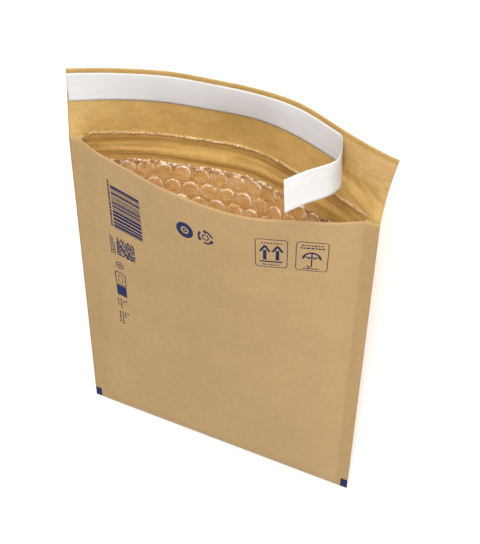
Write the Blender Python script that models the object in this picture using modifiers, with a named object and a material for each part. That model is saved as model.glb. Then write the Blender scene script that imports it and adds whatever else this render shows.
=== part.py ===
"""Open padded mailing envelope: kraft web with its flap, bubble lining, adhesive band and release liner.

Lengths are in metres. The envelope is drawn upright in its own frame (x to the right, u up from the
bottom fold, n out of the printed front) and is then laid on its back on the floor, z = 0.
"""

import math

import bmesh
import bpy
import numpy as np
from mathutils import Matrix, Vector

FOLD_WIDTH = 0.240  # width along the bottom fold
MOUTH_WIDTH = 0.230  # straight width across the open mouth
HEIGHT = 0.280  # bottom fold to the front's mouth edge
FLAP = 0.055  # how far the back runs on past the mouth

# Lines that the sheets bow along, as (x, depth) in millimetres, depth forward of the side seals.
FRONT_LINE = ((-104.5, 0), (-92, 6), (-70, 13), (-40, 22), (-10, 28), (20, 30), (45, 26), (67, 17.5),
              (88, 9.5), (104.5, 0))
BACK_LINE = ((-113, 0), (-98, -9.5), (-80, -19), (-60, -27), (-35, -33), (-10, -37.5), (10, -38.5),
             (30, -34), (50, -26.5), (75, -17), (95, -7.5), (110, 0))
FLAP_LINE = ((-110.5, 0), (-90, -11), (-70, -19.5), (-48, -26.5), (-20, -30), (8, -32), (35, -30.5),
             (57, -24), (75, -15), (92, -6.5), (108, 0), (122, 4.3))

SEAM = 0.0105  # width of the sealed side margins
SEAM_HALF = 0.0006  # half the thickness of a sealed margin
FOLD_HALF = 0.0010  # half the thickness at the bottom fold
PAD_HALF = 0.0043  # half the thickness that the lining's bubbles give the closed part
PAD_RUN = 0.016  # how far from the fold and the seams that thickness is reached

PAPER = 0.00035  # kraft wall
FIT = 0.0003  # clearance between neighbouring solids
LINING = 0.0034  # bubble film, bubbles included
SLOT = 0.0003  # least half gap of the pocket
LINING_TOP = 0.0015  # how far the lining stops below the mouth

BAND_LOW = 0.031  # adhesive band above the mouth level
BAND_HIGH = 0.050
BAND_END = 0.118
BAND_THICK = 0.0003
LINER_LOW = 0.0298  # release liner above the mouth level
LINER_HIGH = 0.0515
LINER_THICK = 0.0003
LINER_BEND = 0.0770  # x where the liner lets go of the adhesive
CURL_LENGTH = 0.056  # free part, along the liner
CURL_TURN = math.radians(93.0)  # how far the free end has turned from the flap
CURL_EASE = 0.011  # length over which most of that turn is made
CURL_DROP = 0.0070  # how far the free end hangs below the stuck part

COLUMNS = 32
ROWS = 9
FOLD_ROWS = (0.0, 0.0015, 0.005, 0.010, PAD_RUN)
FLAP_RISES = (0.0, 0.015, LINER_LOW, BAND_LOW, BAND_HIGH, LINER_HIGH, FLAP)

KRAFT_COLOUR = (0.55, 0.36, 0.19, 1.0)
FILM_COLOUR = (0.62, 0.44, 0.24, 1.0)
GLUE_COLOUR = (0.60, 0.42, 0.22, 1.0)
LINER_COLOUR = (0.80, 0.80, 0.84, 1.0)


def clear_scene():
    """Remove whatever the file opened with."""
    for obj in list(bpy.data.objects):
        bpy.data.objects.remove(obj, do_unlink=True)


def curve(line):
    """Second derivatives at the points of a line, for a natural cubic through them."""
    xs = np.array([p[0] for p in line], float)
    ys = np.array([p[1] for p in line], float)
    steps = np.diff(xs)
    count = len(xs)
    matrix = np.eye(count)
    right = np.zeros(count)
    for i in range(1, count - 1):
        matrix[i, i - 1 : i + 2] = steps[i - 1], 2 * (steps[i - 1] + steps[i]), steps[i]
        right[i] = 6 * ((ys[i + 1] - ys[i]) / steps[i] - (ys[i] - ys[i - 1]) / steps[i - 1])
    return xs, ys, np.linalg.solve(matrix, right)


CURVES = {name: curve(line) for name, line in (("front", FRONT_LINE), ("back", BACK_LINE), ("flap", FLAP_LINE))}


def depth_of(name, x):
    """Depth in metres of a named line at x in metres, level beyond its ends."""
    xs, ys, bends = CURVES[name]
    at = min(max(x * 1000.0, xs[0]), xs[-1])
    i = min(max(int(np.searchsorted(xs, at)) - 1, 0), len(xs) - 2)
    h = xs[i + 1] - xs[i]
    a, b = (xs[i + 1] - at) / h, (at - xs[i]) / h
    bend = ((a**3 - a) * bends[i] + (b**3 - b) * bends[i + 1]) * h * h / 6
    return float(a * ys[i] + b * ys[i + 1] + bend) / 1000.0


def half_width(up):
    """Half the envelope's straight width at a height above the fold."""
    return (FOLD_WIDTH + (MOUTH_WIDTH - FOLD_WIDTH) * up / HEIGHT) / 2


def ramp(distance):
    """Rounded rise from 0 to 1 over the padding's run."""
    t = min(max(distance / PAD_RUN, 0.0), 1.0)
    return 1.0 - (1.0 - t) ** 2


def padding(x, up):
    """Half thickness from the padding, fading out towards the mouth, where the bows hold it."""
    from_seam = half_width(up) - SEAM - abs(x)
    return PAD_HALF * ramp(from_seam) * ramp(up) * (1.0 - up / HEIGHT)


def wall_front(x, up):
    """Outside of the front at a width x and a height."""
    to_mouth = x * MOUTH_WIDTH / 2 / half_width(up)
    edge = FOLD_HALF + (SEAM_HALF - FOLD_HALF) * min(up / PAD_RUN, 1.0)
    return edge + padding(x, up) + depth_of("front", to_mouth) * up / HEIGHT


def wall_back(x, up):
    """Outside of the back at a width x and a height up to the mouth."""
    to_mouth = x * MOUTH_WIDTH / 2 / half_width(up)
    edge = FOLD_HALF + (SEAM_HALF - FOLD_HALF) * min(up / PAD_RUN, 1.0)
    return depth_of("back", to_mouth) * up / HEIGHT - edge - padding(x, up)


def flap_point(share, rise, proud=0.0):
    """Point of the flap's outside, moved forward by proud. share runs 0 to 1 from left to right."""
    t = min(max(rise / FLAP, 0.0), 1.0)
    ease = t * t * (3.0 - 2.0 * t)
    x_low = MOUTH_WIDTH * (share - 0.5)
    x_high = (FLAP_LINE[0][0] + (FLAP_LINE[-1][0] - FLAP_LINE[0][0]) * share) / 1000.0
    x = x_low + (x_high - x_low) * t
    depth_low = wall_back(x_low, HEIGHT)
    depth = depth_low + (depth_of("flap", x_high) - depth_low) * ease
    return Vector((x, HEIGHT + rise, depth + proud))


def stations():
    """Heights of the rows: close together at the fold, then even up to the mouth."""
    return list(FOLD_ROWS) + [PAD_RUN + (HEIGHT - PAD_RUN) * j / ROWS for j in range(1, ROWS + 1)]


def shares(inset):
    """Widths of the columns as a share of the half width, the outermost two at the seams."""
    inner = 1.0 - inset
    middle = [inner * math.sin(math.pi / 2 * (2 * i / (COLUMNS - 2) - 1)) for i in range(COLUMNS - 1)]
    blend = [0.6 * m + 0.4 * inner * (2 * i / (COLUMNS - 2) - 1) for i, m in enumerate(middle)]
    return [-1.0] + blend + [1.0]


class Shell:
    """Collects the faces of one closed body."""

    def __init__(self):
        self.points = []
        self.faces = []

    def grid(self, rows):
        """Add rows of points and return their numbers."""
        numbers = []
        for row in rows:
            numbers.append(list(range(len(self.points), len(self.points) + len(row))))
            self.points.extend(row)
        return numbers

    def skin(self, grid):
        """Face a grid of point numbers."""
        for low, high in zip(grid, grid[1:]):
            self.band(low, high)

    def band(self, low, high):
        """Face the strip between two equally long rows with triangles that all lean the same way."""
        for i in range(len(low) - 1):
            self.faces.append((low[i], low[i + 1], high[i + 1]))
            self.faces.append((low[i], high[i + 1], high[i]))


def column(grid, index):
    """One column of a grid of numbers."""
    return [row[index] for row in grid]


def flap_shares():
    """Shares along the flap of its columns."""
    return [(c + 1.0) / 2.0 for c in shares(SEAM / (FOLD_WIDTH / 2))]


def wall_rows(side, inward=0.0):
    """Rows of points of the front (side 1) or the back (side -1), moved into the envelope by inward."""
    cuts = shares(SEAM / (FOLD_WIDTH / 2))
    wall = wall_front if side > 0 else wall_back
    rows = []
    for up in stations():
        xs = [c * half_width(up) for c in cuts]
        rows.append([Vector((x, up, wall(x, up) - side * inward)) for x in xs])
    return rows


def kraft_shell():
    """Closed body of the kraft web: pocket walls, sealed margins and flap."""
    shell = Shell()
    outer_front = shell.grid(wall_rows(1))
    outer_back = shell.grid(wall_rows(-1))
    inner_front = shell.grid([row[1:-1] for row in wall_rows(1, PAPER)[1:]])
    inner_back = shell.grid([row[1:-1] for row in wall_rows(-1, PAPER)[1:]])
    spots = flap_shares()
    flap_out = [outer_back[-1]] + shell.grid([[flap_point(s, r) for s in spots] for r in FLAP_RISES[1:]])
    ends = shell.grid([[flap_point(0.0, 0.0, PAPER), flap_point(1.0, 0.0, PAPER)]])[0]
    base = [ends[0]] + inner_back[-1] + [ends[1]]
    flap_in = [base] + shell.grid([[flap_point(s, r, PAPER) for s in spots] for r in FLAP_RISES[1:]])

    for skin in (outer_front, outer_back, inner_front, inner_back, flap_out, flap_in):
        shell.skin(skin)
    shell.band(outer_front[0], outer_back[0])
    shell.band(inner_front[0], inner_back[0])
    for edge in (0, -1):
        shell.band(column(inner_front, edge), column(inner_back, edge))
        shell.band(column(outer_front, edge)[:-1], column(outer_back, edge)[:-1])
        shell.band(column(flap_out, edge), column(flap_in, edge))
    shell.band(outer_front[-1][1:-1], inner_front[-1])
    shell.band(flap_out[-1], flap_in[-1])
    for side, step, end in ((0, 1, 0), (-1, -2, 1)):
        shell.faces.append((outer_front[-2][side], outer_front[-1][side], ends[end],
                            outer_back[-1][side], outer_back[-2][side]))
        shell.faces.append((outer_front[-1][side], outer_front[-1][step], inner_front[-1][side],
                            inner_back[-1][side], ends[end]))
    return shell


def between(rows, up):
    """Points at a height on the straight lines between rows."""
    for low, high in zip(rows, rows[1:]):
        if up <= high[0].y:
            break
    part = (up - low[0].y) / (high[0].y - low[0].y)
    return [a.lerp(b, part) for a, b in zip(low, high)]


def draw_in(row, amount):
    """Move a row's ends inwards along the row by an amount."""
    first = row[0].lerp(row[1], amount / (row[1] - row[0]).length)
    last = row[-1].lerp(row[-2], amount / (row[-2] - row[-1]).length)
    return [first] + row[1:-1] + [last]


def lining_rows(side, depth):
    """Rows of a face of the lining, at a depth inside the kraft's hollow."""
    hollow = [row[1:-1] for row in wall_rows(side, PAPER)[1:]]
    ups = stations()[1:-1]
    ups = [ups[0] + 2 * FIT] + ups[1:] + [HEIGHT - LINING_TOP]
    rows = [draw_in(between(hollow, up), 2 * FIT) for up in ups]
    for row in rows:
        for point in row:
            point.z = side * max(side * point.z - depth, SLOT if depth > FIT else 0.00005)
    return rows


def lining_shell():
    """Closed body of the bubble lining: a pouch inside the kraft, with the pocket in it."""
    shell = Shell()
    outer = {side: shell.grid(lining_rows(side, FIT)) for side in (1, -1)}
    inner = {}
    for side in (1, -1):
        inner[side] = shell.grid([row[1:-1] for row in lining_rows(side, FIT + LINING)[1:]])
        shell.skin(outer[side])
        shell.skin(inner[side])
        shell.band(outer[side][-1][1:-1], inner[side][-1])
    shell.band(outer[1][0], outer[-1][0])
    shell.band(inner[1][0], inner[-1][0])
    for edge in (0, -1):
        shell.band(column(outer[1], edge), column(outer[-1], edge))
        shell.band(column(inner[1], edge), column(inner[-1], edge))
    for side, step in ((0, 1), (-1, -2)):
        shell.faces.append((outer[1][-1][side], outer[1][-1][step], inner[1][-1][side],
                            inner[-1][-1][side], outer[-1][-1][step], outer[-1][-1][side]))
    return shell


def strip_rows(end, rises, proud):
    """Rows of points over the flap's own columns, from the left seam to end, proud of its inside."""
    spots = [s for s in flap_shares() if flap_point(s, rises[-1]).x <= end]
    return [[flap_point(s, r, PAPER + proud) for s in spots] for r in rises]


def curl_path(heading):
    """Offsets (x, depth, share of the drop) of the liner's free part from where it lets go."""
    count = 24
    step = CURL_LENGTH / count
    over, forward, path = 0.0, 0.0, []
    for k in range(count):
        along = (k + 0.5) * step
        angle = heading + CURL_TURN * (1.0 - math.exp(-along / CURL_EASE))
        over += step * math.cos(angle)
        forward += step * math.sin(angle)
        path.append((over, forward, min((k + 1) * step / 0.022, 1.0)))
    return path


def liner_rows():
    """Rows of the release liner: stuck part, then the curl."""
    proud = 2.5 * FIT + 2.0 * BAND_THICK
    rows = strip_rows(LINER_BEND, FLAP_RISES[2:-1], proud)
    for row in rows:
        bend = row[-1].copy()
        last = bend - row[-2]
        for over, forward, share in curl_path(math.atan2(last.z, last.x)):
            row.append(bend + Vector((over, -CURL_DROP * share, forward)))
    return rows


def lay_down():
    """Turn that takes the upright frame to the floor, resting on the crest of the back."""
    deepest = min(depth_of("back", x / 1000.0) for x in range(-110, 110))
    tip = math.atan2(-deepest - PAD_HALF, HEIGHT)
    return Matrix.Rotation(tip, 4, "X")


def build(name, points, faces, place):
    """Make an object of the points, already in place."""
    mesh = bpy.data.meshes.new(name)
    mesh.from_pydata([place @ Vector(p) for p in points], [], faces)
    mesh.validate()
    return bpy.data.objects.new(name, mesh)


def closed(name, shell, place):
    """Make a closed body of a shell."""
    obj = build(name, shell.points, shell.faces, place)
    face_out(obj)
    return obj


def sheet(name, rows, thickness, place):
    """Make a thin strip of rows of points, given its thickness by a Solidify modifier."""
    shell = Shell()
    shell.skin(shell.grid(rows))
    obj = build(name, shell.points, shell.faces, place)
    solid = obj.modifiers.new("Thickness", "SOLIDIFY")
    solid.thickness = thickness
    solid.offset = 1.0
    return obj


def face_out(obj):
    """Turn every face of a closed body outwards."""
    bm = bmesh.new()
    bm.from_mesh(obj.data)
    bmesh.ops.recalc_face_normals(bm, faces=bm.faces)
    bm.to_mesh(obj.data)
    bm.free()


def material(name, colour, roughness, metallic=0.0):
    """A plain Principled material."""
    made = bpy.data.materials.new(name)
    made.use_nodes = True
    shader = made.node_tree.nodes["Principled BSDF"]
    shader.inputs["Base Color"].default_value = colour
    shader.inputs["Roughness"].default_value = roughness
    shader.inputs["Metallic"].default_value = metallic
    return made


def settle(objects):
    """Move the whole envelope so that its box stands centred on the origin, lowest point at 0."""
    corners = [v.co for obj in objects for v in obj.data.vertices]
    low = Vector([min(c[k] for c in corners) for k in range(3)])
    high = Vector([max(c[k] for c in corners) for k in range(3)])
    shift = Vector((-(low.x + high.x) / 2, -(low.y + high.y) / 2, -low.z))
    for obj in objects:
        obj.data.transform(Matrix.Translation(shift))


def main():
    clear_scene()
    place = lay_down()
    nodes = [
        closed("kraft_envelope", kraft_shell(), place),
        closed("bubble_lining", lining_shell(), place),
        sheet("adhesive_strip", strip_rows(BAND_END, FLAP_RISES[3:-2], FIT), BAND_THICK, place),
        sheet("release_liner", liner_rows(), LINER_THICK, place),
    ]
    colours = (
        (KRAFT_COLOUR, 0.75),
        (FILM_COLOUR, 0.25),
        (GLUE_COLOUR, 0.3),
        (LINER_COLOUR, 0.45),
    )
    group = bpy.data.collections.new("padded_envelope")
    bpy.context.scene.collection.children.link(group)
    for obj, (colour, roughness) in zip(nodes, colours):
        obj.data.materials.append(material(obj.name, colour, roughness))
        group.objects.link(obj)
    settle(nodes)


main()
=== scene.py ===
"""Looks of an open padded mailing envelope, lying on its back with its release liner half peeled.

The envelope is drawn in its own frame (x to the right, u up from the bottom fold, n out of the
printed front) and is then laid on the floor, exactly as its solids lie.
"""

import math
import random

import bmesh
import bpy
import numpy as np
from mathutils import Matrix, Vector, noise


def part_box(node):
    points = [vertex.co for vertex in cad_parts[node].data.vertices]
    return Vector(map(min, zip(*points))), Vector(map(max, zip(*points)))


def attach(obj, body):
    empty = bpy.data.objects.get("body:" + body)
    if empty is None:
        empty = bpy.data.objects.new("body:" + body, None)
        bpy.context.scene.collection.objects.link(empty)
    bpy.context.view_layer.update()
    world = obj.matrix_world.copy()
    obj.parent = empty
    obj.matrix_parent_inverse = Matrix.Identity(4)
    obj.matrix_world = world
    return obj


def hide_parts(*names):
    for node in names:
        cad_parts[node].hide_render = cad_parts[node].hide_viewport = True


bl_info = {
    "name": "Padded Envelope",
    "version": (1, 0, 0),
    "blender": (4, 5, 0),
    "location": "View3D > Sidebar > Envelope",
    "description": "Builds an open kraft envelope with its bubble lining, liner and print",
    "category": "Object",
}

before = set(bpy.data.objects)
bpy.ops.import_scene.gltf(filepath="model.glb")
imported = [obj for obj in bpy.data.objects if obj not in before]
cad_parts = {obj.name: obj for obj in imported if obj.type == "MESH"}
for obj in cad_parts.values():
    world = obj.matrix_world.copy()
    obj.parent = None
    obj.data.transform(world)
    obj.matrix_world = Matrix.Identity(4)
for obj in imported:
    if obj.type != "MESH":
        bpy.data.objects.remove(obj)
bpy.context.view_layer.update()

# Lines that the sheets bow along, as (x, depth) in millimetres, depth forward of the side seals.
FRONT_LINE = (
    (-104.5, 0), (-92, 6), (-70, 13), (-40, 22), (-10, 28), (20, 30), (45, 26), (67, 17.5),
    (88, 9.5), (104.5, 0))
BACK_LINE = (
    (-113, 0), (-98, -9.5), (-80, -19), (-60, -27), (-35, -33), (-10, -37.5), (10, -38.5),
    (30, -34), (50, -26.5), (75, -17), (95, -7.5), (110, 0))
FLAP_LINE = (
    (-110.5, 0), (-90, -11), (-70, -19.5), (-48, -26.5), (-20, -30), (8, -32), (35, -30.5),
    (57, -24), (75, -15), (92, -6.5), (108, 0), (122, 4.3))

# Folds of the flap as (x, rise, x, rise, depth, width), in metres.
FLAP_FOLDS = (
    (0.082, 0.0285, 0.118, 0.0290, 0.0011, 0.0010),
    (0.080, 0.0235, 0.103, 0.0165, -0.0011, 0.0026),
    (0.101, 0.0240, 0.117, 0.0150, -0.0012, 0.0022),
    (0.088, 0.0120, 0.109, 0.0060, 0.0007, 0.0018))

# Lengths in metres.
FOLD_HALF = 0.0010  # half the thickness of the solid at the bottom fold
PAD_HALF = 0.0043  # half the thickness that the bubbles give the closed part
PAD_RUN = 0.016  # how far in from its edges the padding reaches its full thickness
SEAM_HALF = 0.0006  # half the thickness of the sealed margins
FLOOR_GAP = 0.0001  # least distance of the back from the floor
INK_LIFT = 0.00006  # how far the ink lies off the front
INK_THICK = 0.00003
FILM_GAP = 0.0004  # how far the film lies off the kraft
FILM_THICK = 0.00006
BAND = (-0.1085, 0.1195, 0.0305, 0.0505)  # adhesive: left and right ends, lower and upper edges
BAND_THICK = 0.00016
LINER_LEFT = -0.1112
LINER_LIFT = 0.00034  # how far the liner lies off the flap
LINER_THICK = 0.00013
CURL_RUN = 0.011  # length over which the liner's curl dies away
CURL_SAG = 0.0092
CURL_RISE = 0.0022
CURL_FLARE = 0.0028  # how far the curl's lower edge stands out

# The liner's free part: full turn and lean in degrees, and the way it leans in x and n.
CURL_TURN = 93.0
CURL_LEAN = 18.4
LEAN_WAY = (0.51, 0.86)

# Rows and columns of points.
FIRST_INSIDE_ROW = 3  # row at which the hollow between front and back starts
BAND_ROWS = 17
LINER_ROWS = 15
WELD_ROWS = 9

# Fixed tones of the materials.
WHITE = (1.0, 1.0, 1.0, 1.0)
BLACK = (0.0, 0.0, 0.0, 1.0)
PAPER_BROWN = (0.5, 0.33, 0.16, 1.0)
FLECK_BROWN = (0.24, 0.13, 0.05, 1.0)
BLOTCH_BROWN = (0.52, 0.300, 0.080, 1.0)
# Painted shade in the creases below the mouth.
CREASE_SHADE = (0.36, 0.185, 0.042, 1.0)
# Painted shade darkening the front's side margins.
MARGIN_SHADE = (0.86, 0.85, 0.82, 1.0)
# Darker tone for the flap's strip above the liner.
TOP_STRIP_TINT = (0.74, 0.72, 0.68, 1.0)
FILM_GOLD = (0.74, 0.385, 0.085, 1.0)
# Painted highlight colours for the film's folds and rims, and for its weld.
FOLD_HIGHLIGHT = (1.0, 0.87, 0.76, 1.0)
WELD_HIGHLIGHT = (1.0, 0.88, 0.64, 1.0)
GLUE_DARK = (0.80, 0.53, 0.19, 1.0)
GLUE_LIGHT = (0.90, 0.66, 0.31, 1.0)

# Stage: glows, lamps as (name, place, aim, watts, size) and the camera in the envelope's frame.
FLOOR_REACH = 12.0
FLOOR_GLOW = 0.20
BACKDROP_GLOW = 0.82
SKY_STRENGTH = 0.62
LAMPS = (
    ("Key", (0.12, 1.58, 0.95), (0.0, 0.02, 0.03), 28.0, 1.0),
    ("Fill", (1.1, 0.9, 1.2), (0.0, 0.02, 0.03), 4.0, 1.3),
    ("Back", (0.7, -1.3, 1.1), (0.05, -0.12, 0.0), 6.0, 1.2))
CAMERA_TURNS = ((-1.245, "Z"), (42.12, "X"), (-23.61, "Y"))
CAMERA_OFFSET = (-0.02052, -0.14495, -0.81568)
CAMERA_LENS = 62.1
CAMERA_SENSOR = 36.0

MM = 0.001  # metres


# --------------------------------------------------------------------------------------------
# Settings
# --------------------------------------------------------------------------------------------


class EnvelopeSizes(bpy.types.PropertyGroup):
    """Sizes of the envelope's sheets, in metres."""

    fold_width: bpy.props.FloatProperty(
        name="Fold Width", description="Width along the bottom fold", default=0.240, unit="LENGTH")
    mouth_width: bpy.props.FloatProperty(
        name="Mouth Width", description="Straight width across the open mouth", default=0.230,
        unit="LENGTH")
    height: bpy.props.FloatProperty(
        name="Height", description="Bottom fold to the front's mouth edge", default=0.280,
        unit="LENGTH")
    flap: bpy.props.FloatProperty(
        name="Flap", description="How far the back runs on past the mouth", default=0.055,
        unit="LENGTH")
    seam: bpy.props.FloatProperty(
        name="Side Seal", description="Width of the sealed side margins", default=0.0105,
        unit="LENGTH")
    paper: bpy.props.FloatProperty(
        name="Paper", description="Thickness of the kraft sheet with its film", default=0.00028,
        unit="LENGTH")
    liner_low: bpy.props.FloatProperty(
        name="Liner Low", description="Lower edge of the release liner above the mouth",
        default=0.0298, unit="LENGTH")
    liner_high: bpy.props.FloatProperty(
        name="Liner High", description="Upper edge of the release liner above the mouth",
        default=0.0515, unit="LENGTH")
    liner_bend: bpy.props.FloatProperty(
        name="Liner Bend", description="Where along the flap the liner lets go", default=0.0785,
        unit="LENGTH")
    liner_free: bpy.props.FloatProperty(
        name="Liner Free", description="Length of the liner's peeled part", default=0.0610,
        unit="LENGTH")


class LiningSizes(bpy.types.PropertyGroup):
    """Sizes of the bubble lining."""

    pitch: bpy.props.FloatProperty(
        name="Bubble Pitch", description="Distance between neighbouring bubbles", default=0.0136,
        unit="LENGTH")
    width: bpy.props.FloatProperty(
        name="Bubble Width", description="Width of one bubble", default=0.0134, unit="LENGTH")
    height: bpy.props.FloatProperty(
        name="Bubble Height", description="Height of one full bubble", default=0.0025,
        unit="LENGTH")
    dent: bpy.props.FloatProperty(
        name="Dent", description="How deeply the bubbles are dented", default=0.0018,
        unit="LENGTH")
    back_stop: bpy.props.FloatProperty(
        name="Back Stop", description="How far below the mouth the back's bubbles end",
        default=0.0205, unit="LENGTH")
    front_stop: bpy.props.FloatProperty(
        name="Front Stop", description="How far below the mouth the front's bubbles end",
        default=0.0150, unit="LENGTH")
    seed: bpy.props.IntProperty(
        name="Seed", description="Seed of the dents and of the torn film edge", default=7)


class EnvelopeColours(bpy.types.PropertyGroup):
    """Colours of the envelope's materials."""

    kraft_outside: bpy.props.FloatVectorProperty(
        name="Kraft Outside", description="Printed side of the kraft paper", subtype="COLOR",
        default=(0.490, 0.318, 0.142), min=0.0, max=1.0)
    kraft_inside: bpy.props.FloatVectorProperty(
        name="Kraft Inside", description="Film-coated side of the kraft paper", subtype="COLOR",
        default=(0.670, 0.420, 0.130), min=0.0, max=1.0)
    film: bpy.props.FloatVectorProperty(
        name="Film", description="Bubble film", subtype="COLOR",
        default=(0.92, 0.58, 0.20), min=0.0, max=1.0)
    ink: bpy.props.FloatVectorProperty(
        name="Ink", description="Printing ink", subtype="COLOR",
        default=(0.012, 0.019, 0.088), min=0.0, max=1.0)
    liner: bpy.props.FloatVectorProperty(
        name="Liner", description="Silicone release paper", subtype="COLOR",
        default=(0.83, 0.815, 0.80), min=0.0, max=1.0)
    floor: bpy.props.FloatVectorProperty(
        name="Floor", description="Studio floor", subtype="COLOR",
        default=(0.96, 0.96, 0.96), min=0.0, max=1.0)


def sizes():
    """The envelope's sizes in the open scene."""
    return bpy.context.scene.envelope_sizes


def lining():
    """The lining's sizes in the open scene."""
    return bpy.context.scene.envelope_lining


def colours():
    """The envelope's colours in the open scene."""
    return bpy.context.scene.envelope_colours


# --------------------------------------------------------------------------------------------
# Shape of the envelope
# --------------------------------------------------------------------------------------------


def bends_of(line):
    """Second derivatives at the points of a line, for a natural cubic through them."""
    xs = np.array([p[0] for p in line], float)
    ys = np.array([p[1] for p in line], float)
    steps = np.diff(xs)
    count = len(xs)
    matrix = np.eye(count)
    right = np.zeros(count)
    for i in range(1, count - 1):
        matrix[i, i - 1 : i + 2] = steps[i - 1], 2 * (steps[i - 1] + steps[i]), steps[i]
        right[i] = 6 * ((ys[i + 1] - ys[i]) / steps[i] - (ys[i] - ys[i - 1]) / steps[i - 1])
    return xs, ys, np.linalg.solve(matrix, right)


CURVES = {"front": bends_of(FRONT_LINE), "back": bends_of(BACK_LINE), "flap": bends_of(FLAP_LINE)}


def depth_of(name, x):
    """Depths in metres of a named line at places x in metres, level beyond its ends."""
    xs, ys, bends = CURVES[name]
    at = np.clip(np.asarray(x, float) * 1000.0, xs[0], xs[-1])
    i = np.clip(np.searchsorted(xs, at) - 1, 0, len(xs) - 2)
    h = xs[i + 1] - xs[i]
    a, b = (xs[i + 1] - at) / h, (at - xs[i]) / h
    bend = ((a**3 - a) * bends[i] + (b**3 - b) * bends[i + 1]) * h * h / 6
    return (a * ys[i] + b * ys[i + 1] + bend) / 1000.0


def smooth(low, high, value):
    """Smooth step from 0 at low to 1 at high."""
    t = np.clip((np.asarray(value, float) - low) / (high - low), 0.0, 1.0)
    return t * t * (3.0 - 2.0 * t)


def half_width(u):
    """Half the envelope's straight width at a height above the fold."""
    s = sizes()
    return (s.fold_width + (s.mouth_width - s.fold_width) * np.asarray(u, float) / s.height) / 2


def ramp(distance):
    """Rounded rise from 0 to 1 over the padding's run."""
    t = np.clip(np.asarray(distance, float) / PAD_RUN, 0.0, 1.0)
    return 1.0 - (1.0 - t) ** 2


def padding(x, u):
    """Half thickness from the padding, fading out towards the mouth."""
    s = sizes()
    from_seam = half_width(u) - s.seam - np.abs(x)
    return PAD_HALF * ramp(from_seam) * ramp(u) * (1.0 - u / s.height)


def rim_half(u):
    """Half the thickness of the flat margins, rounded in to the bottom fold."""
    t = np.clip(np.asarray(u, float) / 0.0016, 0.0, 1.0)
    return 0.55 * SEAM_HALF * (0.06 + 0.94 * np.sqrt(1.0 - (1.0 - t) ** 2))


def ripple(x, u, scale, seed):
    """Smooth noise between about -1 and 1 over the flat sheet."""
    xs, us = np.broadcast_arrays(np.asarray(x, float), np.asarray(u, float))
    places = zip(xs.ravel(), us.ravel())
    flat = [noise.noise(Vector((a / scale, b / scale, seed * 7.3))) for a, b in places]
    return np.array(flat).reshape(xs.shape)


def waves(x, u, seed):
    """Slight waves of a handled sheet, none in the sealed margins."""
    s = sizes()
    inner = smooth(0.0, 0.02, half_width(u) - s.seam - np.abs(x)) * smooth(0.0, 0.03, u)
    return inner * (0.00055 * ripple(x, u, 0.055, seed) + 0.00022 * ripple(x, u, 0.021, seed + 1))


def mouth_creases(x, u):
    """Soft creases across the back just below the mouth and where the film's weld runs."""
    s = sizes()
    inner = smooth(0.0, 0.02, half_width(np.minimum(u, s.height)) - s.seam - np.abs(x))
    wander = 0.0016 * ripple(x, 0.0 * u, 0.06, 31)
    first = np.exp(-(((u - s.height + 0.0065 - wander) / 0.0022) ** 2))
    second = np.exp(-(((u - s.height + 0.0125 + wander) / 0.0030) ** 2))
    weld = np.exp(-(((u - s.height - 0.0016) / 0.0016) ** 2))
    return inner * (0.0012 * first - 0.0010 * second - 0.0004 * weld)


def front_depth(x, u):
    """Outside of the front at width x and height u."""
    s = sizes()
    to_mouth = x * (s.mouth_width / 2) / half_width(u)
    bow = depth_of("front", to_mouth) * u / s.height
    return rim_half(u) + padding(x, u) + bow + waves(x, u, 3)


def back_depth(x, u):
    """Outside of the back at width x and height u, flattened where the floor bears it."""
    s = sizes()
    to_mouth = x * (s.mouth_width / 2) / half_width(u)
    bow = depth_of("back", to_mouth) * u / s.height
    depth = bow - rim_half(u) - padding(x, u) + waves(x, u, 11) - mouth_creases(x, u)
    return np.maximum(depth, crest_depth(u) + FLOOR_GAP)


def deepest_bow():
    """Depth of the back's crest at the mouth."""
    return float(depth_of("back", np.arange(-110, 110) * MM).min())


def crest_depth(u):
    """Depth at which the floor lies under the resting envelope, by height above the fold."""
    return deepest_bow() * u / sizes().height - SEAM_HALF - PAD_HALF * (1.0 - u / sizes().height)


def flap_across(share, rise):
    """Widths x at the mouth, at the flap's edge and at a rise between them."""
    s = sizes()
    t = np.clip(rise / s.flap, 0.0, 1.0)
    left, right = FLAP_LINE[0][0] * MM, FLAP_LINE[-1][0] * MM
    x_low = s.mouth_width * (share - 0.5)
    x_high = left + (right - left) * share
    return x_low, x_high, x_low + (x_high - x_low) * t ** (1.0 + 0.5 * share)


def flap_place(share, rise):
    """Points (x, u, n) of the flap's outside. share runs 0 to 1 from left to right."""
    s = sizes()
    share, rise = np.broadcast_arrays(np.asarray(share, float), np.asarray(rise, float))
    ease = smooth(0.0, s.flap, rise)
    x_low, x_high, x = flap_across(share, rise)
    low = back_depth(x_low, np.full_like(x_low, s.height))
    depth = low + (depth_of("flap", x_high) - low) * ease
    inner = smooth(0.0, 0.1, share) * smooth(0.0, 0.1, 1.0 - share)
    depth = depth + smooth(0.0, 0.01, rise) * inner * 0.0007 * ripple(x, s.height + rise, 0.034, 5)
    weld = np.exp(-(((rise - 0.0016) / 0.0016) ** 2)) - math.exp(-1.0) * np.exp(-rise / 0.002)
    return x, s.height + rise, depth + inner * 0.0004 * weld + flap_folds(x, rise)


def flap_folds(x, rise):
    """Soft slanting folds near the flap's right end, and one along the adhesive's lower edge."""
    folds = np.zeros_like(x)
    for x0, rise0, x1, rise1, deep, wide in FLAP_FOLDS:
        along = np.array([x1 - x0, rise1 - rise0])
        length = np.hypot(*along)
        along = along / length
        run = (x - x0) * along[0] + (rise - rise0) * along[1]
        off = (rise - rise0) * along[0] - (x - x0) * along[1]
        ends = smooth(-0.006, 0.006, run) * smooth(length + 0.006, length - 0.006, run)
        folds = folds + deep * ends * np.exp(-((off / wide) ** 2))
    return folds


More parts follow.
